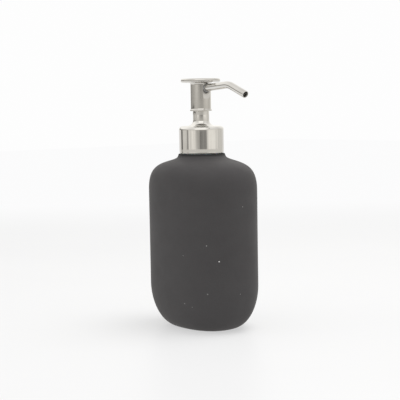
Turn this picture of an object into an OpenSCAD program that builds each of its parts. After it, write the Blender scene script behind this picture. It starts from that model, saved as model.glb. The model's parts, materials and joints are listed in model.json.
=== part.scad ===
// Counter-top soap pump dispenser: oval stoneware bottle with a screw-on metal lotion pump.
// Millimetres. Origin on the table under the pump's axis, +Z up, +X along the bottle's long side and the spout.

/* [Bottle] */
// Half of the bottle's length along X
half_len = 45; // [44:0.1:47]
// Half of the bottle's depth along Y
half_dep = 32.9; // [31:0.1:34]
// Squareness of the footprint: 2 is an ellipse
foot_n = 2.32; // [2:0.01:2.6]
// How far the base is tucked in at the ends
base_rx = 21.1; // [20:0.1:26]
// How far the base is tucked in at the front and back
base_ry = 16.5; // [14:0.1:18]
// Height of the rounding at the base
base_rz = 32.7; // [28:0.1:34]
// Height where the side ends and the shoulder begins
side_top = 102.7; // [100:0.1:104]
// Height of the shoulder at mid width
shoulder_z = 124; // [123.5:0.1:124.2]
// Half width of the bottle at mid shoulder, on the long side
shoulder_x = 26; // [25:0.1:27.5]
// Wall thickness of the stoneware
wall = 4; // [3:0.25:4.5]
// Thickness of the bottle's floor
floor_t = 5; // [4:0.5:6]

/* [Neck] */
// Height of the ceramic rim
rim_z = 129.2; // [128.9:0.1:129.3]
// Outer radius of the ceramic neck
neck_r = 17.2; // [17:0.1:17.5]
// Radius of the ceramic mouth's bore
mouth_r = 11.8; // [11.6:0.05:12]
// Clear bore radius through the neck ferrule
ferrule_bore_r = 9.9; // [9.6:0.1:10.2]
// Root radius of the neck thread
thread_root_r = 12.4; // [12.3:0.05:12.5]
// Crest radius of the neck thread
thread_crest_r = 13.5; // [13.3:0.05:13.55]
// Pitch of the closure thread
pitch = 4.23; // [4.2:0.01:4.3]
// Height of the ferrule's sealing face
ferrule_top = 144; // [143.8:0.1:144]

/* [Collar] */
// Outer radius of the collar
collar_r = 16.5; // [16.4:0.1:17]
// Height of the collar's lower edge
collar_z0 = 129.8; // [129.7:0.1:130]
// Height of the collar's top
collar_z1 = 149.4; // [149.3:0.05:149.6]
// Radius of the collar's top edge
collar_edge = 2.6; // [2:0.1:2.8]
// Sheet thickness of the collar and chimney
sheet = 0.5; // [0.4:0.05:0.6]
// Outer radius of the chimney
chimney_r = 6.05; // [5.95:0.05:6.15]
// Height of the chimney's mouth
chimney_top = 161.8; // [161.4:0.1:161.9]
// Height of the flare at the foot of the chimney
flare_h = 4.2; // [3.6:0.1:4.4]

/* [Pump] */
// Bore radius of the pump cylinder
bore_r = 6.1; // [6.1:0.05:6.3]
// Outer radius of the stem
stem_r = 3.3; // [3.1:0.05:3.3]
// Stroke of the head
stroke = 8; // [7:0.25:8]
// Wire radius of the return spring
wire_r = 0.45; // [0.35:0.05:0.5]
// Number of turns of the return spring
spring_turns = 7; // [6:0.5:8]
// Radius of the inlet ball
ball_r = 2.4; // [2.2:0.05:2.4]
// Lift of the inlet ball
ball_lift = 1.5; // [1:0.1:1.7]
// Outer radius of the dip tube
dip_r = 3; // [2.8:0.1:3]
// Height of the dip tube's lower tip above the table
dip_tip = 8; // [7:0.5:12]

/* [Head] */
// Outer radius of the head's sleeve
sleeve_r = 7.5; // [7.4:0.05:7.6]
// Height of the sleeve's lower edge
sleeve_z0 = 160.5; // [160.3:0.1:160.8]
// Height of the sleeve's top, where the pad sits
sleeve_z1 = 181.5; // [181.3:0.1:181.9]
// Radius of the finger pad
pad_r = 14.6; // [13:0.1:16]
// Thickness of the finger pad
pad_t = 2.8; // [2.8:0.1:3.4]
// Radius of the pad's rim
pad_edge = 1.35; // [0.6:0.05:1.4]

/* [Spout] */
// Outer radius of the spout
spout_r = 2.65; // [2.5:0.05:2.7]
// Wall of the spout
spout_wall = 0.5; // [0.35:0.05:0.6]
// Height of the spout's centreline at the pump's axis
spout_z = 176.9; // [176.5:0.1:177.2]
// Rise of the first run
spout_rise = 4.2; // [3:0.1:6]
// Droop of the last run below level
spout_droop = 23; // [18:1:30]
// Length of the first run from the axis to the bend
run1 = 28; // [24:0.5:31]
// Centreline radius of the bend
bend_r = 14.5; // [12:0.5:16]
// Length of the last run
run2 = 15.5; // [10:0.5:18]
// Width of the seal ring round the spout
seal_w = 0.6; // [0.3:0.05:0.7]

/* [Hidden] */
$fn = 64;
seg = 64;            // points around each section of the bottle
inseg = 48;          // points around each section of the cavity
gap = 0.05;          // seating gap between stacked pieces
liner_root_r = thread_crest_r + 0.45;
liner_crest_r = thread_root_r + 0.5;
liner_r = collar_r - sheet - 0.05;
liner_z0 = collar_z0 + 1;
flange_z = ferrule_top + 1;         // underside of the pump flange
cap_z = flange_z + 1;               // underside of the cap flange
cap_top_z = cap_z + 1.1;            // face the liner presses on
seat_z = 119.5;                     // outlet valve seat
stem_z0 = seat_z + gap + 7.25 + 1.25;
shoulder_top = stem_z0 + 4.95;      // top of the stem's shoulder
pin_top = stem_z0 + 6;
guide_z0 = shoulder_top + gap + 0.25;
boss_z0 = sleeve_z0 + 3.9;          // underside of the core's boss
drum_z0 = chimney_top + stroke + 0.6;
guide_z1 = boss_z0 - stroke - 0.15; // top of the stem guide
socket_z1 = boss_z0 + 8.4;
spring_z0 = 99;
spring_z1 = seat_z - 2.2;
cone_z = 88.7;                      // lower edge of the inlet seat
ball_z = cone_z - 1.4 + ball_r * sqrt(2) + gap;
cage_z0 = ball_z + ball_r + ball_lift + 0.15;

stoneware = [0.09, 0.09, 0.09];
steel = [0.78, 0.76, 0.72];
resin = [0.92, 0.92, 0.9];
dark = [0.1, 0.1, 0.1];

// points of an elliptical arc in the r-z plane
function arc(cx, cz, rx, rz, a0, a1, n = 8) = [for (i = [0:n]) let (a = a0 + (a1 - a0) * i / n) [cx + rx * cos(a), cz + rz * sin(a)]];
// point of a cubic curve through four control points
function bez(p, t) = pow(1 - t, 3) * p[0] + 3 * t * pow(1 - t, 2) * p[1] + 3 * t * t * (1 - t) * p[2] + pow(t, 3) * p[3];
function spow(v, e) = sign(v) * pow(abs(v), e);
// one closed section of the bottle: a, b half sizes, n squareness
function ring(a, b, z, n, m) = [for (i = [0:m - 1]) let (t = 360 * i / m) [a * spow(cos(t), 2 / n), b * spow(sin(t), 2 / n), z]];
function flat(l) = [for (a = l) for (b = a) b];

// skins a stack of sections that all have m points
module skin(rings, m) {
    k = len(rings);
    sides = flat([for (j = [0:k - 2]) flat([for (i = [0:m - 1]) let (a = j * m + i, b = j * m + (i + 1) % m)
        [[a, a + m, b], [b, a + m, b + m]]])]);
    polyhedron(points = flat(rings), faces = concat(sides, [[for (i = [0:m - 1]) i]], [[for (i = [m - 1:-1:0]) (k - 1) * m + i]]), convexity = 6);
}

// half width along Y that belongs to half width x on the shoulder
function dep(x, a, b, r) = r + (b - r) * (x - r) / (a - r);
function sq(x, a, r) = 2 + (foot_n - 2) * max(0, min(1, (x - r) / (a - r)));

module bottle_outer() {
    base = [for (i = [0:9]) let (t = 90 * i / 9) [half_len - base_rx * (1 - sin(t)), half_dep - base_ry * (1 - sin(t)), base_rz * (1 - cos(t)), foot_n]];
    side = [for (i = [1:3]) [half_len, half_dep, base_rz + (side_top - base_rz) * i / 3, foot_n]];
    s3 = [shoulder_x, shoulder_z];
    s2 = [half_len - 6.9, shoulder_z - 2.9];
    top1 = [for (i = [1:10]) let (p = bez([[half_len, side_top], [half_len, side_top + 14.9], s2, s3], i / 10))
        [p[0], dep(p[0], half_len, half_dep, neck_r), p[1], sq(p[0], half_len, neck_r)]];
    s4 = s3 + (s3 - s2) * 0.75;
    top2 = [for (i = [1:8]) let (p = bez([s3, s4, [neck_r + 1.3, shoulder_z + 2.6], [neck_r, rim_z - 0.5]], i / 8))
        [p[0], dep(p[0], half_len, half_dep, neck_r), p[1], sq(p[0], half_len, neck_r)]];
    rim = [[neck_r - 0.15, neck_r - 0.15, rim_z - 0.15, 2], [neck_r - 0.5, neck_r - 0.5, rim_z, 2]];
    skin([for (s = concat(base, side, top1, top2, rim)) ring(s[0], s[1], s[2], s[3], seg)], seg);
}

module bottle_cavity() {
    a = half_len - wall;
    b = half_dep - wall;
    rx = base_rx - wall * 0.4;
    ry = base_ry - wall * 0.4;
    base = [for (i = [0:6]) let (t = 90 * i / 6) [a - rx * (1 - sin(t)), b - ry * (1 - sin(t)), floor_t + (base_rz - floor_t) * (1 - cos(t)), foot_n]];
    s3 = [shoulder_x - 2, shoulder_z - 4.4];
    s2 = [a - 6.2, shoulder_z - 6.6];
    top1 = [for (i = [0:6]) let (p = bez([[a, side_top - 2], [a, side_top + 10.5], s2, s3], i / 6))
        [p[0], dep(p[0], a, b, mouth_r), p[1], sq(p[0], a, mouth_r)]];
    last = [mouth_r - 1, mouth_r - 1, shoulder_z - 0.6, 2];
    skin([for (s = concat(base, top1, [last])) ring(s[0], s[1], s[2], s[3], inseg)], inseg);
}

module bottle_shell() {
    color(stoneware) difference() {
        bottle_outer();
        bottle_cavity();
        translate([0, 0, shoulder_z - 2.5]) cylinder(r = mouth_r, h = 20);
    }
}

// one helical ridge: r0 inside the wall it grows from, r1 its crest, w0 and w1 the widths there
module ridge(r0, r1, w0, w1, z0, turns) {
    n = round(turns * 30);
    pts = flat([for (i = [0:n]) let (t = 360 * turns * i / n, z = z0 + pitch * t / 360, f = min(1, min(i, n - i) / 3),
        rc = r0 + (r1 - r0) * (0.25 + 0.75 * f), c = cos(t), s = sin(t))
        [[r0 * c, r0 * s, z - w0 / 2], [rc * c, rc * s, z - w1 / 2], [rc * c, rc * s, z + w1 / 2], [r0 * c, r0 * s, z + w0 / 2]]]);
    out = r1 > r0;
    q = flat([for (i = [0:n - 1]) flat([for (k = [0:3]) let (a = 4 * i + k, b = 4 * i + (k + 1) % 4) [[a, a + 4, b], [b, a + 4, b + 4]]])]);
    f = concat(q, [[0, 1, 2], [0, 2, 3]], [[4 * n + 2, 4 * n + 1, 4 * n], [4 * n + 3, 4 * n + 2, 4 * n]]);
    polyhedron(points = pts, faces = out ? [for (t = f) [t[2], t[1], t[0]]] : f, convexity = 8);
}

module neck_insert() {
    color(resin) union() {
        rotate_extrude() polygon([[ferrule_bore_r, 121.5], [mouth_r - 0.55, 121.5], [mouth_r - 0.05, 122], [mouth_r - 0.05, rim_z],
            [14.5, rim_z], [14.5, rim_z + 0.8], [14.3, rim_z + 1], [thread_root_r, rim_z + 1], [thread_root_r, ferrule_top - 0.4],
            [thread_root_r - 0.4, ferrule_top], [ferrule_bore_r, ferrule_top]]);
        ridge(thread_root_r - 0.3, thread_crest_r, 2.5, 1.3, 135, 1.5);
    }
}

module neck_gasket() {
    color(dark) translate([0, 0, ferrule_top + 0.03]) difference() {
        cylinder(r = 12.3, h = flange_z - ferrule_top - 0.03);
        translate([0, 0, -1]) cylinder(r = ferrule_bore_r + 0.1, h = 4);
    }
}

// the collar's outline: a shallow rolled band near the lower edge, the side, the top, the flare and the chimney
module collar_shell() {
    r = collar_r;
    ri = r - sheet;
    color(steel) rotate_extrude() polygon(concat(
        [[ri, collar_z0 + 0.15], [r - 0.3, collar_z0], [r - 0.05, collar_z0 + 0.12], [r, collar_z0 + 0.35], [r, collar_z0 + 1.7],
         [r - 0.06, collar_z0 + 2], [r - 0.1, collar_z0 + 2.4], [r - 0.1, collar_z0 + 3.2], [r - 0.06, collar_z0 + 3.6], [r, collar_z0 + 3.9]],
        arc(r - collar_edge, collar_z1 - collar_edge, collar_edge, collar_edge, 0, 90, 10),
        [for (p = arc(chimney_r + 4.55, collar_z1 + 0.1 + flare_h, 4.55, flare_h, 270, 180, 10)) p],
        [[chimney_r, chimney_top - 0.15], [chimney_r - 0.15, chimney_top], [chimney_r - sheet + 0.1, chimney_top], [chimney_r - sheet, chimney_top - 0.1]],
        [for (p = arc(chimney_r + 4.55, collar_z1 + 0.1 + flare_h, 4.55 + sheet, flare_h + sheet, 180, 270, 8)) p],
        arc(r - collar_edge, collar_z1 - collar_edge, collar_edge - sheet, collar_edge - sheet, 90, 0, 8)));
}

module collar_insert() {
    hole = chimney_r + 0.15;
    z1 = collar_z1 - sheet - 0.15;
    color(resin) union() {
        rotate_extrude() polygon([[liner_root_r, liner_z0], [liner_r - 0.2, liner_z0], [liner_r, liner_z0 + 0.2], [liner_r, z1 - 2], [liner_r - 2, z1],
            [hole + 4.6, z1], [hole, cap_top_z + 1.2], [hole, cap_top_z + gap], [liner_root_r, cap_top_z + gap]]);
        ridge(liner_root_r + 0.3, liner_crest_r, 2.5, 1.1, 135 + pitch / 2, 1.25);
    }
}

module pump_housing() {
    color(resin) difference() {
        rotate_extrude() polygon([[dip_r, 76], [4.2, 76], [4.2, 90.5], [bore_r + 1, 94.5], [bore_r + 1, 134.5], [9, 136], [9, flange_z], [12.8, flange_z],
            [12.8, cap_z], [8, cap_z], [8, 137.5], [bore_r, 136.5], [bore_r, 96], [3.2, 93], [3.2, cone_z + 1.8], [1.4, cone_z], [1.4, 87.2], [dip_r, 87.2]]);
        translate([0, 0, 141.5]) rotate([0, 90, 0]) cylinder(r = 0.6, h = 12);
    }
}

module housing_cap() {
    g = stem_r + 0.3;
    color(resin) rotate_extrude() polygon([[g + 1, guide_z0], [5.4, guide_z0], [5.4, cap_z - 1], [7, cap_z - 1], [7, 139], [7.7, 139], [7.95, 139.4], [7.95, cap_z],
        [12.3, cap_z], [12.3, cap_top_z], [5.15, cap_top_z], [5.15, guide_z1 - 0.3], [4.85, guide_z1], [g, guide_z1], [g, guide_z0 + 1.2], [g + 1, guide_z0 + 1.2]]);
}

module stem_seal() {
    color(dark) rotate_extrude() polygon([[stem_r + 0.3, shoulder_top + gap], [stem_r + 1.2, shoulder_top + gap], [stem_r + 1.28, guide_z0 + 0.2],
        [stem_r + 1.28, guide_z0 + 1.18], [stem_r + 0.3, guide_z0 + 1.18]]);
}

module stem_tube() {
    color(resin) rotate_extrude() polygon([[1.95, stem_z0], [stem_r, stem_z0], [stem_r, shoulder_top - 2], [4.9, shoulder_top - 1.4], [4.9, shoulder_top],
        [stem_r, shoulder_top], [stem_r, socket_z1 - 0.3], [stem_r - 0.3, socket_z1], [1.5, socket_z1], [1.5, pin_top + gap], [1.95, pin_top + gap]]);
}

// double-lipped piston
module piston_seal() {
    z = seat_z + gap;
    o = bore_r - 0.15;
    color(dark) rotate_extrude() polygon([[2.15, z], [4, z], [4, z + 1.6], [4.9, z + 1.6], [o - 0.35, z + 0.1], [o, z + 0.3], [o, z + 1.2], [o - 0.5, z + 2.8],
        [o - 0.5, z + 4.4], [o, z + 6], [o, z + 6.9], [o - 0.35, z + 7.1], [4.9, z + 5.6], [4, z + 5.6], [4, z + 7.25], [2.15, z + 7.25]]);
}

module valve_pin() {
    color(resin) union() {
        translate([0, 0, seat_z - 2.2]) cylinder(r = 4.9, h = 2.2);
        translate([0, 0, seat_z - 4]) cylinder(r1 = 2.5, r2 = 3.1, h = 1.8);
        intersection() {
            translate([0, 0, seat_z - 0.1]) cylinder(r = 1.65, h = pin_top - seat_z + 0.1);
            union() {
                translate([-2, -0.5, seat_z - 0.1]) cube([4, 1, 30]);
                translate([-0.5, -2, seat_z - 0.1]) cube([1, 4, 30]);
            }
        }
    }
}

// coil of round wire with its end turns closed
module return_spring() {
    n = spring_turns * 16;
    m = 8;
    rm = 3.85;
    z0 = spring_z0 + wire_r;
    z1 = spring_z1 - wire_r;
    function hz(u) = let (e = 0.9 * 2 * wire_r, t = u * spring_turns)
        t < 1 ? e * t : t > spring_turns - 1 ? (z1 - z0) - e * (spring_turns - t) : e + (z1 - z0 - 2 * e) * (t - 1) / (spring_turns - 2);
    pts = [for (i = [0:n]) [for (k = [0:m - 1]) let (u = i / n, t = 360 * spring_turns * u, a = 360 * k / m, r = rm + wire_r * cos(a))
        [r * cos(t), r * sin(t), z0 + hz(u) + wire_r * sin(a)]]];
    q = flat([for (i = [0:n - 1]) flat([for (k = [0:m - 1]) let (a = m * i + k, b = m * i + (k + 1) % m) [[a, b, a + m], [b, b + m, a + m]]])]);
    color(steel) polyhedron(points = flat(pts), faces = concat(q, [[for (k = [m - 1:-1:0]) k]], [[for (k = [0:m - 1]) m * n + k]]), convexity = 10);
}

module ball_cage() {
    color(resin) union() {
        difference() {
            translate([0, 0, 96.1]) cylinder(r = bore_r - 0.05, h = spring_z0 - 96.1 - 0.02);
            translate([0, 0, 95]) cylinder(r = 3, h = 6);
        }
        intersection() {
            translate([0, 0, cage_z0]) cylinder(r = 3.6, h = 97.6 - cage_z0);
            union() {
                translate([-4, -0.6, cage_z0]) cube([8, 1.2, 6]);
                translate([-0.6, -4, cage_z0]) cube([1.2, 8, 6]);
            }
        }
    }
}

module inlet_ball() {
    color(steel) translate([0, 0, ball_z]) sphere(r = ball_r);
}

module dip_tube() {
    color(resin) difference() {
        translate([0, 0, dip_tip]) cylinder(r = dip_r, h = 87.1 - dip_tip);
        translate([0, 0, dip_tip - 1]) cylinder(r = dip_r - 1, h = 90);
        translate([0, 0, dip_tip]) rotate([0, 35, 0]) translate([-20, -10, -20]) cube([40, 20, 20]);
    }
}

// places children on the spout's first run: x along the run from the pump's axis
module on_run() {
    translate([0, 0, spout_z]) rotate([0, -spout_rise, 0]) children();
}

module along_x(r, h) {
    rotate([0, 90, 0]) cylinder(r = r, h = h);
}

module head_core() {
    color(resin) difference() {
        rotate_extrude() polygon([[0, boss_z0], [4.3, boss_z0], [4.6, boss_z0 + 0.3], [4.6, drum_z0], [sleeve_r - sheet - 0.3, drum_z0], [sleeve_r - sheet - 0.03, drum_z0 + 0.3],
            [sleeve_r - sheet - 0.03, sleeve_z1 - 0.05], [0, sleeve_z1 - 0.05]]);
        translate([0, 0, boss_z0 - 1]) cylinder(r = stem_r, h = socket_z1 - boss_z0 + 1);
        translate([0, 0, socket_z1 - 1]) cylinder(r = 1.5, h = spout_z - socket_z1 + 1);
        on_run() along_x(spout_r - spout_wall, 3);
        on_run() translate([2, 0, 0]) along_x(spout_r, 8);
    }
}

module head_sleeve() {
    r = sleeve_r;
    i = r - sheet;
    color(steel) difference() {
        rotate_extrude() polygon(concat([[i, sleeve_z0 + 2.3], [i + 0.2, sleeve_z0 + 0.9], [i + 0.4, sleeve_z0 + 0.2], [i + 0.6, sleeve_z0], [r + 0.45, sleeve_z0], [r + 0.6, sleeve_z0 + 0.2], [r + 0.6, sleeve_z0 + 0.8],
            [r + 0.4, sleeve_z0 + 1.3], [r + 0.12, sleeve_z0 + 1.9], [r, sleeve_z0 + 2.5]],
            arc(r + 1.45, sleeve_z1 - 1.75, 1.45, 1.75, 180, 90, 7),
            [[i, sleeve_z1]]));
        on_run() translate([3, 0, 0]) along_x(spout_r + seal_w + 0.03, 10);
    }
}

module finger_disc() {
    e = pad_edge;
    z1 = sleeve_z1 + pad_t;
    color(steel) rotate_extrude() polygon(concat([[0, sleeve_z1]],
        arc(pad_r - e, sleeve_z1 + e, e, e, 270, 360, 8), arc(pad_r - e, z1 - e, e, e, 0, 90, 8), [[0, z1]]));
}

// closes a stack of sections into a tube: the last section joins the first
module loop_skin(rings, m) {
    k = len(rings);
    polyhedron(points = flat(rings), faces = flat([for (j = [0:k - 1]) flat([for (i = [0:m - 1])
        let (a = j * m + i, b = j * m + (i + 1) % m, c = ((j + 1) % k) * m + i, d = ((j + 1) % k) * m + (i + 1) % m) [[a, c, b], [b, c, d]]])]), convexity = 8);
}

// the spout's centreline on its first run: [distance, height, slope]
function spout_line() = let (turn = spout_rise + spout_droop, n = 10) concat([[2.02, 0, 0]],
    [for (i = [0:n]) let (a = turn * i / n) [run1 + bend_r * sin(a), -bend_r * (1 - cos(a)), -a]],
    [[run1 + bend_r * sin(turn) + run2 * cos(turn), -bend_r * (1 - cos(turn)) - run2 * sin(turn), -turn]]);
function spout_ring(p, r, m) = [for (i = [0:m - 1]) let (t = 360 * i / m)
    [p[0] - r * sin(t) * sin(p[2]), r * cos(t), p[1] + r * sin(t) * cos(p[2])]];

module spout_tube() {
    l = spout_line();
    n = len(l) - 1;
    m = 28;
    color(steel) on_run() loop_skin(concat([for (p = l) spout_ring(p, spout_r, m)],
        [for (j = [n:-1:0]) spout_ring(l[j], spout_r - spout_wall, m)]), m);
}

// ring that fills the sleeve's hole round the spout; its faces follow the sleeve's
module spout_seal() {
    color(dark) difference() {
        intersection() {
            on_run() translate([4, 0, 0]) along_x(spout_r + seal_w, 5);
            translate([0, 0, spout_z - 6]) cylinder(r = sleeve_r + 0.12, h = 12);
        }
        translate([0, 0, spout_z - 7]) cylinder(r = sleeve_r - sheet + 0.02, h = 14);
        on_run() along_x(spout_r + 0.01, 12);
    }
}

bottle_shell();
neck_insert();
neck_gasket();
collar_shell();
collar_insert();
pump_housing();
housing_cap();
stem_seal();
stem_tube();
piston_seal();
valve_pin();
return_spring();
ball_cage();
inlet_ball();
dip_tube();
head_core();
head_sleeve();
finger_disc();
spout_tube();
spout_seal();
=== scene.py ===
"""Looks of the counter-top soap pump: stoneware bottle, polished metal pump, plastic works inside."""
import json
import math

import bpy
from mathutils import Matrix, Vector, noise


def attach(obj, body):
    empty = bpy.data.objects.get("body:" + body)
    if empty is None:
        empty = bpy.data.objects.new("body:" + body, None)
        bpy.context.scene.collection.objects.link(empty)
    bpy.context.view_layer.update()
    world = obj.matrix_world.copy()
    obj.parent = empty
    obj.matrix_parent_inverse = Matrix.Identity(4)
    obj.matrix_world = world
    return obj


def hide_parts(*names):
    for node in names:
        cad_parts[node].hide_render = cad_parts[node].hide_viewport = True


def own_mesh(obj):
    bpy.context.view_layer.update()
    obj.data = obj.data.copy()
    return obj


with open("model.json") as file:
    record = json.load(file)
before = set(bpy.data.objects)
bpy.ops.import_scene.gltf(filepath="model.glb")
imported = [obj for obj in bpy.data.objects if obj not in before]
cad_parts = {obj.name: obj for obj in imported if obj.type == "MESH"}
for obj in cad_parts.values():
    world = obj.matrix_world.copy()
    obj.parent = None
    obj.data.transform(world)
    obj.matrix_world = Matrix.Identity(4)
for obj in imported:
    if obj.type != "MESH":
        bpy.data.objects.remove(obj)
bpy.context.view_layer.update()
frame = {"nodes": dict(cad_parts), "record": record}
MM = 0.001


# ---------------------------------------------------------------- geometry helpers (profiles in millimetres)
def arc(cx, cz, rx, rz, a0, a1, n):
    return [(cx + rx * math.cos(math.radians(a0 + (a1 - a0) * i / n)), cz + rz * math.sin(math.radians(a0 + (a1 - a0) * i / n))) for i in range(n + 1)]


def rounded(points, default=0.1, steps=6):
    """A closed outline with its corners rounded. A point is (r, z) or (r, z, radius)."""
    out = []
    n = len(points)
    for i, p in enumerate(points):
        a, b = Vector(points[i - 1][:2]), Vector(points[(i + 1) % n][:2])
        c = Vector(p[:2])
        rad = p[2] if len(p) > 2 else default
        u, v = (a - c), (b - c)
        lu, lv = u.length, v.length
        if rad <= 0 or lu < 1e-6 or lv < 1e-6:
            out.append((c.x, c.y))
            continue
        u, v = u / lu, v / lv
        ang = u.angle(v)
        if ang > math.radians(176):
            out.append((c.x, c.y))
            continue
        t = min(rad / math.tan(ang / 2), 0.45 * lu, 0.45 * lv)
        r = t * math.tan(ang / 2)
        m = (u + v).normalized() * (r / math.sin(ang / 2)) + c
        s, e = c + u * t - m, c + v * t - m
        a0 = math.atan2(s.y, s.x)
        da = math.atan2(e.y, e.x) - a0
        da = (da + math.pi) % (2 * math.pi) - math.pi
        k = max(2, round(steps * abs(da) / (math.pi / 2)))
        out += [(m.x + r * math.cos(a0 + da * j / k), m.y + r * math.sin(a0 + da * j / k)) for j in range(k + 1)]
    return out


def finish_mesh(name, verts, faces, sharp=40):
    me = bpy.data.meshes.new(name)
    me.from_pydata([(x * MM, y * MM, z * MM) for x, y, z in verts], [], faces)
    me.validate()
    me.shade_smooth()
    me.update()
    ob = bpy.data.objects.new(name, me)
    bpy.context.scene.collection.objects.link(ob)
    import bmesh
    bm = bmesh.new()
    bm.from_mesh(me)
    bmesh.ops.remove_doubles(bm, verts=bm.verts, dist=1e-7)
    bmesh.ops.recalc_face_normals(bm, faces=bm.faces)
    lim = math.radians(sharp)
    for e in bm.edges:
        if len(e.link_faces) == 2 and e.calc_face_angle(0) > lim:
            e.smooth = False
    bm.to_mesh(me)
    bm.free()
    return ob


def lathe(name, outline, seg=160, sharp=40):
    """Turns a closed outline of (r, z) about the pump's axis. Points on the axis become one vertex."""
    verts, rows = [], []
    for r, z in outline:
        if r < 1e-6:
            rows.append([len(verts)] * seg)
            verts.append((0, 0, z))
        else:
            rows.append(list(range(len(verts), len(verts) + seg)))
            verts += [(r * math.cos(2 * math.pi * i / seg), r * math.sin(2 * math.pi * i / seg), z) for i in range(seg)]
    faces = []
    n = len(rows)
    for j in range(n):
        a, b = rows[j], rows[(j + 1) % n]
        for i in range(seg):
            k = (i + 1) % seg
            f = [a[i], a[k], b[k], b[i]]
            f = [v for q, v in enumerate(f) if v not in f[:q]]
            if len(f) > 2:
                faces.append(f)
    return finish_mesh(name, verts, faces, sharp)


# ---------------------------------------------------------------- the dimensions, as in the CAD model
HALF_LEN, HALF_DEP, FOOT_N = 45.0, 32.9, 2.32
BASE_RX, BASE_RY, BASE_RZ = 21.1, 16.5, 32.7
SIDE_TOP, SHOULDER_Z, SHOULDER_X = 102.7, 124.0, 26.0
WALL, FLOOR_T = 4.0, 5.0
RIM_Z, NECK_R, MOUTH_R = 129.2, 17.2, 11.8
COLLAR_R, COLLAR_Z0, COLLAR_Z1, COLLAR_EDGE, SHEET = 16.5, 129.8, 149.4, 2.6, 0.5
CHIMNEY_R, CHIMNEY_TOP, FLARE_H = 6.05, 161.8, 4.2
SLEEVE_R, SLEEVE_Z0, SLEEVE_Z1 = 7.5, 160.5, 181.5
PAD_R, PAD_T, PAD_EDGE = 14.6, 2.8, 1.35
SPOUT_R, SPOUT_WALL, SPOUT_Z, SEAL_W = 2.65, 0.5, 176.9, 0.6
RISE, DROOP, RUN1, BEND_R, RUN2 = 4.2, 23.0, 28.0, 14.5, 15.5
SPOUT_OUTER = 48     # rings of the spout's mesh up to its tip


def bez(p, t):
    return tuple((1 - t) ** 3 * a + 3 * t * (1 - t) ** 2 * b + 3 * t * t * (1 - t) * c + t ** 3 * d for a, b, c, d in zip(*p))


def spow(v, e):
    return math.copysign(abs(v) ** e, v)


def dep(x, a, b, r):
    return r + (b - r) * (x - r) / (a - r)


def squareness(x, a, r):
    return 2 + (FOOT_N - 2) * max(0.0, min(1.0, (x - r) / (a - r)))


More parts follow.
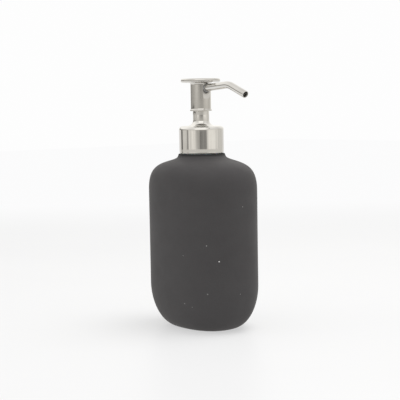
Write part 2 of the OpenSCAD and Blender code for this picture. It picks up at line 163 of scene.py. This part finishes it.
def bottle(name, seg=224):
    """Outer skin from the base up to the rim, over it, and down the cavity: one closed shell. A section is (a, b, z, squareness)."""
    s = []
    for i in range(6):                      # the flat the bottle stands on
        k = i / 6
        s.append(((HALF_LEN - BASE_RX) * k, (HALF_DEP - BASE_RY) * k, 0, FOOT_N))
    for i in range(41):
        t = math.radians(90 * i / 40)
        s.append((HALF_LEN - BASE_RX * (1 - math.sin(t)), HALF_DEP - BASE_RY * (1 - math.sin(t)), BASE_RZ * (1 - math.cos(t)), FOOT_N))
    for i in range(1, 25):
        s.append((HALF_LEN, HALF_DEP, BASE_RZ + (SIDE_TOP - BASE_RZ) * i / 24, FOOT_N))
    s3, s2 = (SHOULDER_X, SHOULDER_Z), (HALF_LEN - 6.9, SHOULDER_Z - 2.9)
    for i in range(1, 41):
        x, z = bez([(HALF_LEN, SIDE_TOP), (HALF_LEN, SIDE_TOP + 14.9), s2, s3], i / 40)
        s.append((x, dep(x, HALF_LEN, HALF_DEP, NECK_R), z, squareness(x, HALF_LEN, NECK_R)))
    s4 = (s3[0] + (s3[0] - s2[0]) * 0.75, s3[1] + (s3[1] - s2[1]) * 0.75)
    for i in range(1, 31):
        x, z = bez([s3, s4, (NECK_R + 1.3, SHOULDER_Z + 2.6), (NECK_R, RIM_Z - 0.5)], i / 30)
        s.append((x, dep(x, HALF_LEN, HALF_DEP, NECK_R), z, squareness(x, HALF_LEN, NECK_R)))
    s += [(r, r, z, 2) for r, z in arc(NECK_R - 0.5, RIM_Z - 0.5, 0.5, 0.5, 0, 90, 6)[1:]]
    s += [(r, r, z, 2) for r, z in arc(MOUTH_R + 0.4, RIM_Z - 0.4, 0.4, 0.4, 90, 180, 4)]
    outer = len(s)
    a, b = HALF_LEN - WALL, HALF_DEP - WALL
    cav = [(MOUTH_R, MOUTH_R, SHOULDER_Z + 2, 2), (MOUTH_R, MOUTH_R, SHOULDER_Z - 2.0, 2)]
    s3, s2 = (SHOULDER_X - 2, SHOULDER_Z - 4.4), (a - 6.2, SHOULDER_Z - 6.6)
    for i in range(15, -1, -1):
        x, z = bez([(a, SIDE_TOP - 2), (a, SIDE_TOP + 10.5), s2, s3], i / 15)
        cav.append((x, dep(x, a, b, MOUTH_R), z, squareness(x, a, MOUTH_R)))
    rx, ry = BASE_RX - WALL * 0.4, BASE_RY - WALL * 0.4
    for i in range(16, -1, -1):
        t = math.radians(90 * i / 16)
        cav.append((a - rx * (1 - math.sin(t)), b - ry * (1 - math.sin(t)), FLOOR_T + (BASE_RZ - FLOOR_T) * (1 - math.cos(t)), FOOT_N))
    for i in range(5, -1, -1):
        cav.append(((a - rx) * i / 6, (b - ry) * i / 6, FLOOR_T, FOOT_N))
    s += cav
    verts, rows = [], []
    for j, (p, q, z, n) in enumerate(s):
        if p < 1e-6:
            rows.append([len(verts)] * seg)
            verts.append((0, 0, z))
            continue
        rows.append(list(range(len(verts), len(verts) + seg)))
        for i in range(seg):
            t = 2 * math.pi * i / seg
            x, y = p * spow(math.cos(t), 2 / n), q * spow(math.sin(t), 2 / n)
            if j < outer and 1.5 < z < 124:       # the cast wall isn't quite true: up to 0.12 mm inwards
                w = min(1, (z - 1.5) / 12, (124 - z) / 12)
                d = 0.06 * (1 + noise.noise(Vector((x, y, z)) * 0.045)) * w
                l = math.hypot(x, y)
                x, y = x * (1 - d / l), y * (1 - d / l)
            verts.append((x, y, z))
    faces = []
    for j in range(len(rows) - 1):
        lo, hi = rows[j], rows[j + 1]
        for i in range(seg):
            k = (i + 1) % seg
            f = [lo[i], lo[k], hi[k], hi[i]]
            f = [v for q, v in enumerate(f) if v not in f[:q]]
            if len(f) > 2:
                faces.append(f)
    return finish_mesh(name, verts, faces, 50)


def spout(name, seg=64):
    turn = RISE + DROOP
    line = [(2.02, 0, 0), (RUN1 * 0.5, 0, 0)]
    n = 36
    line += [(RUN1 + BEND_R * math.sin(math.radians(turn * i / n)), -BEND_R * (1 - math.cos(math.radians(turn * i / n))), -turn * i / n) for i in range(n + 1)]
    t = math.radians(turn)
    end = (RUN1 + BEND_R * math.sin(t) + RUN2 * math.cos(t), -BEND_R * (1 - math.cos(t)) - RUN2 * math.sin(t))

    def at(back):
        return (end[0] - back * math.cos(t), end[1] + back * math.sin(t), -turn)
    ro, ri = SPOUT_R, SPOUT_R - SPOUT_WALL
    rings = [(p, ro) for p in line] + [(at(RUN2 * 0.5), ro), (at(0.16), ro)]
    rings += [(at(0.16 - 0.16 * math.sin(a)), ro - 0.16 + 0.16 * math.cos(a)) for a in (math.pi / 8, math.pi / 4, 3 * math.pi / 8, math.pi / 2)]
    rings += [(at(0.12 - 0.12 * math.cos(a)), ri + 0.12 - 0.12 * math.sin(a)) for a in (0, math.pi / 6, math.pi / 3, math.pi / 2)]
    rings += [(at(RUN2 * 0.5), ri)] + [(p, ri) for p in line[::-1]]
    rs = math.radians(RISE)
    verts = []
    for (d, h, a), r in rings:
        sa, ca = math.sin(math.radians(a)), math.cos(math.radians(a))
        for i in range(seg):
            f = 2 * math.pi * i / seg
            x, y, z = d - r * math.sin(f) * sa, r * math.cos(f), h + r * math.sin(f) * ca
            verts.append((x * math.cos(rs) - z * math.sin(rs), y, x * math.sin(rs) + z * math.cos(rs) + SPOUT_Z))
    k = len(rings)
    assert k - n - 4 == SPOUT_OUTER + 1
    faces = [[j * seg + i, j * seg + (i + 1) % seg, ((j + 1) % k) * seg + (i + 1) % seg, ((j + 1) % k) * seg + i] for j in range(k) for i in range(seg)]
    return finish_mesh(name, verts, faces, 50)


# ---------------------------------------------------------------- materials
class Nodes:
    def __init__(self, name):
        self.mat = bpy.data.materials.new(name)
        self.mat.use_nodes = True
        self.t = self.mat.node_tree
        self.t.nodes.clear()
        self.out = self.t.nodes.new("ShaderNodeOutputMaterial")
        self.bsdf = self.t.nodes.new("ShaderNodeBsdfPrincipled")
        self.t.links.new(self.bsdf.outputs[0], self.out.inputs[0])
        self.tc = self.t.nodes.new("ShaderNodeTexCoord")

    def link(self, a, b):
        self.t.links.new(a, b)

    def put(self, **values):
        for k, v in values.items():
            self.bsdf.inputs[k.replace("_", " ")].default_value = v

    def noise(self, scale, detail=3.0, rough=0.55, stretch=None, distortion=0.0):
        n = self.t.nodes.new("ShaderNodeTexNoise")
        n.inputs["Scale"].default_value = scale
        n.inputs["Detail"].default_value = detail
        n.inputs["Roughness"].default_value = rough
        n.inputs["Distortion"].default_value = distortion
        src = self.tc.outputs["Object"]
        if stretch:
            m = self.t.nodes.new("ShaderNodeMapping")
            m.inputs["Scale"].default_value = stretch
            self.link(src, m.inputs["Vector"])
            src = m.outputs["Vector"]
        self.link(src, n.inputs["Vector"])
        return n.outputs["Fac"]

    def ramp(self, fac, stops):
        r = self.t.nodes.new("ShaderNodeValToRGB")
        e = r.color_ramp.elements
        while len(e) < len(stops):
            e.new(0.5)
        for i, (p, c) in enumerate(stops):
            e[i].position = p
            e[i].color = (c, c, c, 1) if isinstance(c, (int, float)) else (*c, 1)
        self.link(fac, r.inputs["Fac"])
        return r.outputs["Color"]

    def math(self, op, a, b=None, c=None):
        m = self.t.nodes.new("ShaderNodeMath")
        m.operation = op
        for i, v in enumerate((a, b, c)):
            if v is None:
                continue
            if isinstance(v, (int, float)):
                m.inputs[i].default_value = v
            else:
                self.link(v, m.inputs[i])
        return m.outputs[0]

    def mix(self, fac, a, b):
        m = self.t.nodes.new("ShaderNodeMix")
        m.data_type = "RGBA"
        for i, v in ((0, fac), (6, a), (7, b)):
            if isinstance(v, (int, float)):
                m.inputs[i].default_value = v
            elif isinstance(v, tuple):
                m.inputs[i].default_value = (*v, 1)
            else:
                self.link(v, m.inputs[i])
        return m.outputs[2]

    def bump(self, heights):
        """heights: [(output, strength, distance in metres)], stacked."""
        last = None
        for h, strength, dist in heights:
            b = self.t.nodes.new("ShaderNodeBump")
            b.inputs["Strength"].default_value = strength
            b.inputs["Distance"].default_value = dist
            self.link(h, b.inputs["Height"])
            if last is not None:
                self.link(last, b.inputs["Normal"])
            last = b.outputs["Normal"]
        self.link(last, self.bsdf.inputs["Normal"])


def stoneware():
    m = Nodes("stoneware")
    cloud = m.noise(28, 4, 0.6)
    grain = m.noise(1400, 2, 0.6)
    body = m.ramp(cloud, [(0.3, (0.0372, 0.0347, 0.0357)), (0.7, (0.0444, 0.0416, 0.0428))])
    fine = m.ramp(grain, [(0.25, (0.0320, 0.0300, 0.0307)), (0.75, (0.0511, 0.0480, 0.0492))])
    col = m.mix(0.35, body, fine)
    # pale mineral specks, few and far between
    v = m.t.nodes.new("ShaderNodeTexVoronoi")
    v.inputs["Scale"].default_value = 330
    v.inputs["Randomness"].default_value = 1
    wobble = m.t.nodes.new("ShaderNodeTexNoise")
    wobble.inputs["Scale"].default_value = 900
    m.link(m.tc.outputs["Object"], wobble.inputs["Vector"])
    add = m.t.nodes.new("ShaderNodeVectorMath")
    add.operation = "MULTIPLY_ADD"
    m.link(wobble.outputs["Color"], add.inputs[0])
    add.inputs[1].default_value = (0.0004, 0.0004, 0.0004)
    m.link(m.tc.outputs["Object"], add.inputs[2])
    m.link(add.outputs[0], v.inputs["Vector"])
    sep = m.t.nodes.new("ShaderNodeSeparateColor")
    m.link(v.outputs["Color"], sep.inputs[0])
    size = m.math("MULTIPLY_ADD", m.math("POWER", sep.outputs[1], 3.0), 0.13, 0.045)
    spot = m.math("LESS_THAN", v.outputs["Distance"], size)
    # the glaze is chipped more often along the foot
    xyz = m.t.nodes.new("ShaderNodeSeparateXYZ")
    m.link(m.tc.outputs["Object"], xyz.inputs[0])
    foot = m.t.nodes.new("ShaderNodeMapRange")
    foot.inputs["From Min"].default_value = 0.0002
    foot.inputs["From Max"].default_value = 0.0045
    foot.inputs["To Min"].default_value = 0.20
    foot.inputs["To Max"].default_value = 0.925
    m.link(xyz.outputs[2], foot.inputs["Value"])
    few = m.math("GREATER_THAN", sep.outputs[0], foot.outputs["Result"])
    speck = m.math("MULTIPLY", spot, few)
    shade = m.ramp(sep.outputs[2], [(0.0, (0.12, 0.118, 0.115)), (0.6, (0.25, 0.247, 0.24)), (1.0, (0.75, 0.74, 0.73))])
    # painted shade: the rim just under the collar is darkened almost to black, where the gap under the collar is in
    # shade
    rim = m.t.nodes.new("ShaderNodeMapRange")
    rim.interpolation_type = "SMOOTHSTEP"
    rim.inputs["From Min"].default_value = 0.1272
    rim.inputs["From Max"].default_value = 0.1283
    m.link(xyz.outputs[2], rim.inputs["Value"])
    # the painted shade on the rim is mixed in here, over the glaze and its specks
    col = m.mix(m.math("MULTIPLY", rim.outputs["Result"], 0.9), m.mix(speck, col, shade), (0.004, 0.004, 0.004))
    m.link(col, m.bsdf.inputs["Base Color"])
    m.link(m.ramp(m.noise(60, 3), [(0.3, 0.60), (0.7, 0.72)]), m.bsdf.inputs["Roughness"])
    m.put(Specular_IOR_Level=0.5, IOR=1.5, Sheen_Weight=0.04, Sheen_Roughness=0.4)
    m.bump([(m.noise(110, 3, 0.5), 0.35, 0.00012), (grain, 0.5, 0.00004), (speck, 0.4, 0.00003)])
    return m.mat


def polished(name, dark, light, rough, wave):
    """Plated sheet metal, turned or drawn along the pump's axis; rough is its haze, wave how far the surface wanders."""
    m = Nodes(name)
    smear = m.noise(90, 4, 0.6)
    brush = m.noise(500, 3, 0.6, (1, 1, 0.03))
    m.link(m.ramp(smear, [(0.3, dark), (0.7, light)]), m.bsdf.inputs["Base Color"])
    r = m.math("ADD", m.math("MULTIPLY_ADD", brush, 0.05, m.math("MULTIPLY", smear, 0.07)), rough)
    m.link(r, m.bsdf.inputs["Roughness"])
    m.put(Metallic=1.0)
    m.bump([(m.noise(55, 2, 0.5), wave, 0.0002), (m.noise(260, 2, 0.5, (1, 1, 0.08)), wave * 0.6, 0.00005), (brush, 0.05, 0.00001)])
    return m.mat


def resin(name, a, b, rough, trans=0.0):
    m = Nodes(name)
    m.link(m.ramp(m.noise(180, 3), [(0.3, a), (0.7, b)]), m.bsdf.inputs["Base Color"])
    m.link(m.ramp(m.noise(420, 3), [(0.3, rough), (0.7, rough + 0.12)]), m.bsdf.inputs["Roughness"])
    m.put(Subsurface_Weight=0.25 if trans == 0 else 0.1, Subsurface_Scale=0.002, Transmission_Weight=trans)
    m.bump([(m.noise(1600, 2), 0.25, 0.00002), (m.noise(160, 2), 0.2, 0.00008)])
    return m.mat


def rubber(name, a, b):
    m = Nodes(name)
    m.link(m.ramp(m.noise(900, 3), [(0.3, (a, a, a)), (0.7, (b, b * 0.985, b * 0.96))]), m.bsdf.inputs["Base Color"])
    m.link(m.ramp(m.noise(300, 3), [(0.3, 0.55), (0.7, 0.8)]), m.bsdf.inputs["Roughness"])
    m.bump([(m.noise(2200, 2), 0.4, 0.00003)])
    return m.mat


def wire():
    m = Nodes("spring_steel")
    m.link(m.ramp(m.noise(350, 4), [(0.3, (0.50, 0.50, 0.50)), (0.7, (0.66, 0.66, 0.65))]), m.bsdf.inputs["Base Color"])
    m.link(m.ramp(m.noise(700, 3, 0.5, (0.2, 0.2, 1)), [(0.3, 0.18), (0.7, 0.34)]), m.bsdf.inputs["Roughness"])
    m.put(Metallic=1.0)
    m.bump([(m.noise(1500, 3, 0.5, (0.2, 0.2, 1)), 0.2, 0.00002)])
    return m.mat


MATS = {
    "stoneware": stoneware(),
    "polished_metal": polished("polished_metal", (0.798, 0.782, 0.752), (0.850, 0.836, 0.810), 0.005, 0.10),
    "polished_head": polished("polished_head", (0.655, 0.637, 0.606), (0.745, 0.727, 0.697), 0.02, 0.16),
    "polished_spout": polished("polished_spout", (0.700, 0.685, 0.660), (0.780, 0.766, 0.742), 0.01, 0.12),
    "dull_inside": polished("dull_inside", (0.560, 0.550, 0.530), (0.640, 0.630, 0.610), 0.42, 0.05),
    "resin": resin("resin", (0.70, 0.70, 0.68), (0.78, 0.78, 0.76), 0.34),
    "tube_resin": resin("tube_resin", (0.66, 0.68, 0.67), (0.74, 0.76, 0.75), 0.22, 0.35),
    "gasket": rubber("gasket", 0.012, 0.030),
    "grey_gasket": rubber("grey_gasket", 0.26, 0.33),
    "spring_steel": wire(),
}


def dress(ob, slot):
    ob.data.materials.clear()
    ob.data.materials.append(MATS[slot])


for part in frame["record"]["subparts"]:
    dress(frame["nodes"][part["node"]], part["material_slot"])
dress(frame["nodes"]["spout_seal"], "grey_gasket")


# ---------------------------------------------------------------- the pieces that show
body = bottle("bottle_body")
dress(body, "stoneware")
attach(body, "bottle")
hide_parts("bottle_shell")

r, ri = COLLAR_R, COLLAR_R - SHEET
flare_z = COLLAR_Z1 + 0.1 + FLARE_H
edge = COLLAR_EDGE
roll = 0.085                            # how far the lower edge is rolled in
outline = rounded([(ri, COLLAR_Z0 + 0.15, 0.05), (ri + 0.15, COLLAR_Z0, 0.1), (r - roll, COLLAR_Z0, 0.25), (r - roll * 0.86, COLLAR_Z0 + 0.25, 0)])[:-1]
outline += [(r - roll * (0.5 + 0.5 * math.cos(math.pi * t)), COLLAR_Z0 + 3.6 * t) for t in [0.12 + 0.88 * i / 16 for i in range(17)]]
outline += [(r, z) for z in (136, 140, 144)]
outline += arc(r - edge, COLLAR_Z1 - edge, edge, edge, 0, 90, 24)
outline += arc(CHIMNEY_R + 4.55, flare_z, 4.55, FLARE_H, 270, 180, 28)
outline += [(CHIMNEY_R, 157.5)]
outline += arc(CHIMNEY_R - 0.25, CHIMNEY_TOP - 0.25, 0.25, 0.25, 0, 180, 8)
outline += [(CHIMNEY_R - SHEET, 157.5)]
outline += arc(CHIMNEY_R + 4.55, flare_z, 4.55 + SHEET, FLARE_H + SHEET, 180, 270, 20)
outline += arc(r - edge, COLLAR_Z1 - edge, edge - SHEET, edge - SHEET, 90, 0, 12)
outline += [(ri, 140)]
collar = lathe("collar_metal", outline, 192)
dress(collar, "polished_metal")
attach(collar, "collar")
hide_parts("collar_shell")

r, i_ = SLEEVE_R, SLEEVE_R - SHEET
z0, z1 = SLEEVE_Z0, SLEEVE_Z1
outline = [(i_, z0 + 2.3), (i_ + 0.05, z0 + 1.5), (i_ + 0.2, z0 + 0.9)] + arc(r + 0.3, z0 + 0.3, 0.3, 0.3, 190, 360, 12)
outline += [(r + 0.59, z0 + 0.65), (r + 0.5, z0 + 0.9), (r + 0.3, z0 + 1.15), (r + 0.12, z0 + 1.4), (r + 0.03, z0 + 1.7), (r, z0 + 2.1), (r, z0 + 8)]
outline += arc(r + 1.45, z1 - 1.75, 1.45, 1.75, 180, 90, 16)
outline += [(i_, z1)]
sleeve = lathe("sleeve_metal", outline, 192)
cutter = lathe("cutter", [(0, 3), (SPOUT_R + SEAL_W + 0.03, 3), (SPOUT_R + SEAL_W + 0.03, 13), (0, 13)], 96)
cutter.data.transform(Matrix.Translation((0, 0, SPOUT_Z * MM)) @ Matrix.Rotation(math.radians(90 - RISE), 4, "Y"))
mod = sleeve.modifiers.new("hole", "BOOLEAN")
mod.operation, mod.object, mod.solver = "DIFFERENCE", cutter, "EXACT"
bpy.context.view_layer.update()
cut = bpy.data.meshes.new_from_object(sleeve.evaluated_get(bpy.context.evaluated_depsgraph_get()))
sleeve.modifiers.clear()
sleeve.data = cut
bpy.data.objects.remove(cutter)
dress(sleeve, "polished_head")
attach(sleeve, "head")
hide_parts("head_sleeve")

top = SLEEVE_Z1 + PAD_T
e = PAD_EDGE
outline = [(0, SLEEVE_Z1), (SLEEVE_R + 1, SLEEVE_Z1)] + arc(PAD_R - e, SLEEVE_Z1 + e, e, e, 270, 360, 20) + arc(PAD_R - e, top - e, e, e, 0, 90, 20) + [(PAD_R * 0.6, top - 0.05), (PAD_R * 0.3, top - 0.09), (0, top - 0.1)]
pad = lathe("pad_metal", outline, 192)
dress(pad, "polished_head")
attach(pad, "head")
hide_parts("finger_disc")

nozzle = spout("spout_metal")
dress(nozzle, "polished_spout")
nozzle.data.materials.append(MATS["dull_inside"])
for i, f in enumerate(nozzle.data.polygons):     # the bore is unpolished
    f.material_index = 1 if i // 64 >= SPOUT_OUTER else 0
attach(nozzle, "head")
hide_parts("spout_tube")


def spring(name, turns, z0, z1, rm, wire, seg=48, sides=14):
    """A coil of round wire with closed, ground-looking end turns. Millimetres."""
    n = round(turns * seg)
    e = 0.9 * 2 * wire
    span = (z1 - wire) - (z0 + wire)
    verts = []
    for i in range(n + 1):
        t = turns * i / n
        h = e * t if t < 1 else span - e * (turns - t) if t > turns - 1 else e + (span - 2 * e) * (t - 1) / (turns - 2)
        w = wire * (1 if 2 < i < n - 2 else 0.86 if i in (1, 2, n - 2, n - 1) else 0.6)
        for k in range(sides):
            a, f = 2 * math.pi * k / sides, 2 * math.pi * t
            q = rm + w * math.cos(a)
            verts.append((q * math.cos(f), q * math.sin(f), z0 + wire + h + w * math.sin(a)))
    faces = [[i * sides + k, i * sides + (k + 1) % sides, (i + 1) * sides + (k + 1) % sides, (i + 1) * sides + k] for i in range(n) for k in range(sides)]
    faces += [list(range(sides)), [n * sides + k for k in range(sides)]]
    return finish_mesh(name, verts, faces, 50)


coil = spring("coil_spring", 7, 99.0, 117.3, 3.85, 0.45)
dress(coil, "spring_steel")
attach(coil, "pump_engine")
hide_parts("return_spring")
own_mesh(coil)


# ---------------------------------------------------------------- the studio
AZ = math.radians(50.0)
DIST, EYE, OFF = 0.820, 0.1662, -0.00184
PITCH, ROLL, FOCAL = math.radians(5.0), math.radians(0.96), 1105.7
right = Vector((math.cos(AZ), math.sin(AZ), 0))
ahead = Vector((-math.sin(AZ), math.cos(AZ), 0))
look = ahead * math.cos(PITCH) - Vector((0, 0, math.sin(PITCH)))
up = right.cross(look)
cx = right * math.cos(ROLL) - up * math.sin(ROLL)
cy = right * math.sin(ROLL) + up * math.cos(ROLL)
cam_data = bpy.data.cameras.new("camera")
cam_data.sensor_width = 36
cam_data.lens = FOCAL * 36 / 400
cam_data.clip_start = 0.01
cam = bpy.data.objects.new("camera", cam_data)
place = right * OFF - ahead * DIST + Vector((0, 0, EYE))
m = Matrix((cx, cy, -look)).transposed().to_4x4()
m.translation = place
cam.matrix_world = m
bpy.context.scene.collection.objects.link(cam)
bpy.context.scene.camera = cam


def plane(name, size, z=0.0):
    me = bpy.data.meshes.new(name)
    n = 24
    me.from_pydata([((-1 + 2 * i / n) * size, (-1 + 2 * j / n) * size, z) for j in range(n + 1) for i in range(n + 1)], [],
                   [[j * (n + 1) + i, j * (n + 1) + i + 1, (j + 1) * (n + 1) + i + 1, (j + 1) * (n + 1) + i] for j in range(n) for i in range(n)])
    ob = bpy.data.objects.new(name, me)
    bpy.context.scene.collection.objects.link(ob)
    return ob


floor = plane("floor", 3.0)
f = Nodes("floor")
# the pale table turns into the paler wall behind it
dot = f.t.nodes.new("ShaderNodeVectorMath")
dot.operation = "DOT_PRODUCT"
f.link(f.tc.outputs["Object"], dot.inputs[0])
dot.inputs[1].default_value = tuple(ahead)
back = f.t.nodes.new("ShaderNodeMapRange")
back.interpolation_type = "SMOOTHSTEP"
back.inputs["From Min"].default_value = 0.45
back.inputs["From Max"].default_value = 1.05
back.inputs["To Min"].default_value = 0.55
f.link(dot.outputs["Value"], back.inputs["Value"])
mottle = f.ramp(f.noise(6, 3), [(0.3, 0.595), (0.7, 0.610)])
f.link(mottle, f.bsdf.inputs["Base Color"])
f.put(Roughness=0.42, Specular_IOR_Level=0.35)
glow = f.t.nodes.new("ShaderNodeEmission")
glow.inputs["Color"].default_value = (0.968, 0.968, 0.970, 1)
mixer = f.t.nodes.new("ShaderNodeMixShader")
f.link(back.outputs["Result"], mixer.inputs[0])
f.link(f.bsdf.outputs[0], mixer.inputs[1])
f.link(glow.outputs[0], mixer.inputs[2])
f.link(mixer.outputs[0], f.out.inputs[0])
floor.data.materials.append(f.mat)

# what the metal and the glaze mirror of the table: pale close by, dim farther out in front
floor.visible_glossy = False
mirror = plane("table_mirrored", 3.0, -0.001)
t = Nodes("table_mirrored")
away = t.t.nodes.new("ShaderNodeVectorMath")
away.operation = "LENGTH"
t.link(t.tc.outputs["Object"], away.inputs[0])
side = t.t.nodes.new("ShaderNodeVectorMath")
side.operation = "DOT_PRODUCT"
t.link(t.tc.outputs["Object"], side.inputs[0])
side.inputs[1].default_value = tuple(ahead)
face = t.t.nodes.new("ShaderNodeMapRange")
face.interpolation_type = "SMOOTHSTEP"
for k, v in (("From Min", -0.30), ("From Max", -0.05), ("To Min", 1.0), ("To Max", 0.0)):
    face.inputs[k].default_value = v
t.link(side.outputs["Value"], face.inputs["Value"])
near = t.ramp(away.outputs["Value"], [(0.03, (0.62, 0.61, 0.59)), (0.11, (0.88, 0.875, 0.86)), (1.0, (0.93, 0.93, 0.92))])
far = t.ramp(away.outputs["Value"], [(0.03, (0.62, 0.61, 0.59)), (0.11, (0.88, 0.875, 0.86)), (0.26, (0.86, 0.85, 0.83)), (0.42, (0.22, 0.21, 0.195)), (0.80, (0.25, 0.24, 0.22)), (1.0, (0.55, 0.54, 0.51))])
shine = t.t.nodes.new("ShaderNodeEmission")
t.link(t.mix(face.outputs["Result"], near, far), shine.inputs["Color"])
t.link(shine.outputs[0], t.out.inputs[0])
mirror.data.materials.append(t.mat)
t.mat.cycles.emission_sampling = "NONE"
mirror.visible_camera = False
mirror.visible_diffuse = False
mirror.visible_shadow = False
mirror.visible_transmission = False
mirror.visible_volume_scatter = False

# a tent of soft panels and dark flags that only the polished metal sees
n, rows, R = 180, 40, 1.05
me = bpy.data.meshes.new("studio_tent")
me.from_pydata([(R * math.cos(e) * math.cos(2 * math.pi * i / n), R * math.cos(e) * math.sin(2 * math.pi * i / n), 0.004 + R * math.sin(e))
                for e in [math.radians(89.5 * j / rows) for j in range(rows + 1)] for i in range(n)], [],
               [[j * n + i, j * n + (i + 1) % n, (j + 1) * n + (i + 1) % n, (j + 1) * n + i] for j in range(rows) for i in range(n)])
tent = bpy.data.objects.new("studio_tent", me)
bpy.context.scene.collection.objects.link(tent)
g = Nodes("studio_tent")
sep = g.t.nodes.new("ShaderNodeSeparateXYZ")
turned = g.t.nodes.new("ShaderNodeVectorRotate")
turned.rotation_type = "Z_AXIS"
turned.inputs["Angle"].default_value = -AZ
g.link(g.tc.outputs["Object"], turned.inputs["Vector"])
g.link(turned.outputs[0], sep.inputs[0])
# 0 behind the camera, positive to its right
neg = g.math("MULTIPLY", sep.outputs[1], -1.0)
ang = g.math("ARCTAN2", sep.outputs[0], neg)
fac = g.math("MULTIPLY_ADD", ang, 1 / (2 * math.pi), 0.5)
WARM = (1.0, 0.972, 0.912)


def tone(v, c=WARM):
    lin = ((v / 255 + 0.055) / 1.055) ** 2.4 / 0.80
    return tuple(lin * k for k in c)


BANDS = [(-180, 212, 1), (-142, 208, 1), (-128, 190), (-124.5, 62), (-117, 62), (-111.5, 190), (-97.5, 198), (-90, 192), (-82, 192), (-79, 136), (-72, 136), (-69, 205),
         (-57, 212), (-44, 216), (-34, 206), (-28, 198), (-24.5, 158), (-14, 168), (-10, 152), (-6, 114), (6, 122), (20, 138), (25, 138),
         (30, 190), (38, 220), (62, 216), (90, 205), (104, 193), (126, 190), (150, 212, 1), (180, 224, 1)]
stops = [((b[0] + 180) / 360, tone(b[1], (1, 0.98, 0.96) if len(b) > 2 else WARM)) for b in BANDS]
MID = [(-180, 226), (-150, 196), (-146, 96), (-133, 100), (-127, 172), (-114, 160), (-100, 160), (-78, 176), (-50, 186), (-26, 178), (-2, 166), (21, 168), (33, 182),
       (45, 196), (72, 202), (90, 194), (105, 180), (128, 200), (180, 240)]
HIGH = [(-180, 238), (-130, 240), (-110, 236), (-80, 216), (-60, 205), (-42, 212), (-30, 250), (22, 252), (36, 214), (80, 206), (110, 196), (140, 220), (180, 238)]
SKY = [(0.0, 238), (0.70, 236), (0.88, 224), (1.0, 210)]
height = g.math("DIVIDE", sep.outputs[2], R)


def smooth(value, a, b, lo=0.0, hi=1.0):
    n = g.t.nodes.new("ShaderNodeMapRange")
    n.interpolation_type = "SMOOTHSTEP"
    for k, v in (("From Min", a), ("From Max", b), ("To Min", lo), ("To Max", hi)):
        n.inputs[k].default_value = v
    g.link(value, n.inputs["Value"])
    return n.outputs["Result"]


high = g.ramp(fac, [((a + 180) / 360, tone(v, (1, 0.985, 0.95))) for a, v in HIGH])
sky = g.ramp(height, [(h, tone(v, (1, 0.985, 0.955))) for h, v in SKY])
low = g.ramp(fac, stops)
mid = g.ramp(fac, [((a + 180) / 360, tone(v)) for a, v in MID])
# folds in the cloth of the tent, and a half-lit hem near the table
cloth = g.t.nodes.new("ShaderNodeTexNoise")
cloth.inputs["Scale"].default_value = 5.0
cloth.inputs["Detail"].default_value = 5.0
cloth.inputs["Roughness"].default_value = 0.65
flat = g.t.nodes.new("ShaderNodeMapping")
flat.inputs["Scale"].default_value = (1.5, 1.5, 0.8)
g.link(turned.outputs[0], flat.inputs["Vector"])
g.link(flat.outputs["Vector"], cloth.inputs["Vector"])
folds = g.ramp(cloth.outputs["Fac"], [(0.36, 0.80), (0.50, 1.0), (0.64, 1.13)])
mul = g.t.nodes.new("ShaderNodeMix")
mul.data_type, mul.blend_type = "RGBA", "MULTIPLY"
mul.inputs[0].default_value = 1.0
g.link(low, mul.inputs[6])
g.link(folds, mul.inputs[7])
low = g.mix(smooth(height, 0.030, 0.075, 1.0, 0.0), mul.outputs[2], tone(188))
low = g.mix(smooth(height, 0.142, 0.154), low, mid)
# a dark flag above the left-hand panels, which draws the line along the spout
flag = g.math("MULTIPLY", smooth(height, 0.180, 0.200), smooth(height, 0.27, 0.34, 1.0, 0.0))
flag = g.math("MULTIPLY", flag, g.math("MULTIPLY", smooth(ang, -2.30, -2.15), smooth(ang, -1.50, -1.35, 1.0, 0.0)))
low = g.mix(g.math("MULTIPLY", flag, 0.9), low, tone(84))
col = g.mix(smooth(height, 0.28, 0.46), low, high)
col = g.mix(smooth(height, 0.70, 0.92), col, sky)
em = g.t.nodes.new("ShaderNodeEmission")
g.link(col, em.inputs["Color"])
g.link(em.outputs[0], g.out.inputs[0])
tent.data.materials.append(g.mat)
g.mat.cycles.emission_sampling = "NONE"
tent.visible_camera = False
tent.visible_diffuse = False
tent.visible_shadow = False
tent.visible_transmission = False
tent.visible_volume_scatter = False

world = bpy.data.worlds.new("world")
world.use_nodes = True
bg = world.node_tree.nodes["Background"]
bg.inputs["Color"].default_value = (0.985, 0.985, 0.985, 1)
bg.inputs["Strength"].default_value = 1.0
bpy.context.scene.world = world


def area(name, at, target, size, power, color=(1, 1, 1)):
    d = bpy.data.lights.new(name, "AREA")
    d.shape, d.size, d.energy, d.color = "DISK", size, power, color
    ob = bpy.data.objects.new(name, d)
    ob.location = at
    ob.rotation_euler = (Vector(target) - Vector(at)).to_track_quat("-Z", "Y").to_euler()
    bpy.context.scene.collection.objects.link(ob)
    ob.visible_glossy = False
    return ob


area("top_light", tuple(right * 0.40 + Vector((0, 0, 1.35))), (0, 0, 0.05), 0.9, 13.5)
area("left_fill", tuple(right * -1.1 - ahead * 0.1 + Vector((0, 0, 0.35))), (0, 0, 0.08), 0.5, 2.0)
bpy.context.scene.view_settings.view_transform = "Standard"
bpy.context.scene.view_settings.look = "None"

bpy.context.view_layer.update()
